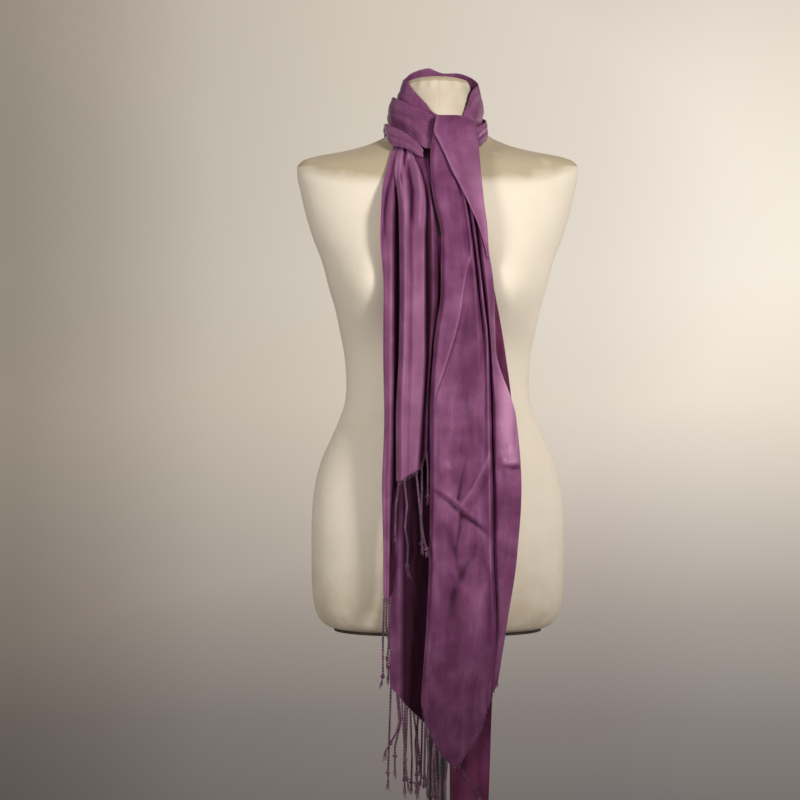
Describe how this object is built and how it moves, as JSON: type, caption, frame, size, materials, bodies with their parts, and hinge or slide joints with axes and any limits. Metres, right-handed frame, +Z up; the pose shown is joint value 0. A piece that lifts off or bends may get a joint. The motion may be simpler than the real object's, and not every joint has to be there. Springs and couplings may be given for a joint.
{
  "type": "pashmina shawl on a dress form",
  "caption": "Fine twill shawl with knotted fringe, looped round the neck of a limbless dress form on a pole stand, both tails hanging in front",
  "frame": {"origin": "centre of the stand base's underside, which is the middle of the bounding box's bottom", "axes": "+Z up; the form's front faces -Y; +X is to the viewer's right when the front is seen"},
  "size_m": [0.39, 0.36, 1.536],
  "materials": {
    "shawl_twill": "soft satin twill",
    "shawl_fringe": "twisted yarn, matt",
    "form_jersey": "matt stretch jersey",
    "form_board": "dark stained board",
    "stand_steel": "satin dark enamel"
  },
  "bodies": {
    "root": {"neck_band_top": "shawl_twill", "neck_band_middle": "shawl_twill", "neck_loop_low": "shawl_twill", "right_flap": "shawl_twill", "right_tail_front": "shawl_twill", "right_tail_back": "shawl_twill", "right_tail_under": "shawl_twill", "left_tail_front": "shawl_twill", "left_tail_side": "shawl_twill", "fringe_left_front": "shawl_fringe", "fringe_left_corner": "shawl_fringe", "fringe_right_under": "shawl_fringe", "fringe_right_front": "shawl_fringe", "fringe_right_corner": "shawl_fringe", "dress_form": "form_jersey", "form_base_board": "form_board", "stand_pole": "stand_steel", "stand_base": "stand_steel"}
  },
  "joints": []
}
